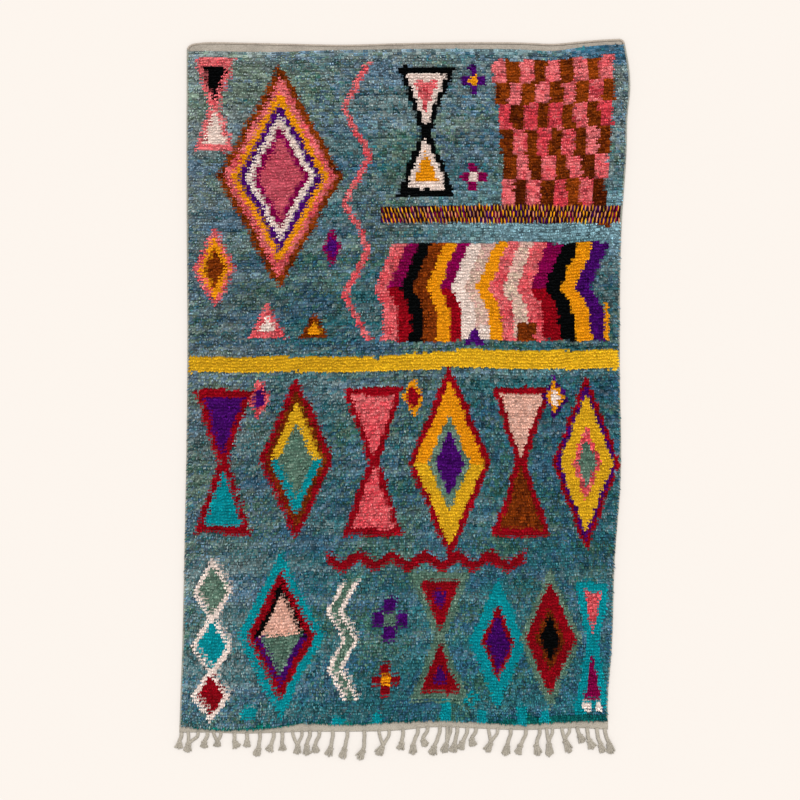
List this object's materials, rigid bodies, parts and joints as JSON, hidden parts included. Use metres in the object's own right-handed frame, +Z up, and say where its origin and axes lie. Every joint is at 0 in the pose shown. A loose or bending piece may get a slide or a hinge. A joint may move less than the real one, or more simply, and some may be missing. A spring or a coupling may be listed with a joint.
{
  "type": "moroccan rug",
  "caption": "Hand-knotted wool pile rug lying flat, with traditional figures, a plain heading, side cords and a knotted fringe at one end.",
  "frame": {"origin": "on the floor, under the middle of the rug with its fringe", "axes": "+Z up out of the pile, +Y along the length towards the plain heading, the fringe at -Y, +X to the right when looking down with the heading away"},
  "size_m": [1.6422, 2.6091, 0.0233],
  "materials": {
    "pile": "matt cut wool pile",
    "heading_weave": "matt plain weave",
    "edge_cord": "matt wrapped wool",
    "warp_yarn": "matt twisted yarn"
  },
  "bodies": {
    "root": {"rug_body": "pile", "heading": "heading_weave", "heading_cord": "edge_cord", "selvedge_left": "edge_cord", "selvedge_right": "edge_cord", "fringe": "warp_yarn"}
  },
  "joints": []
}
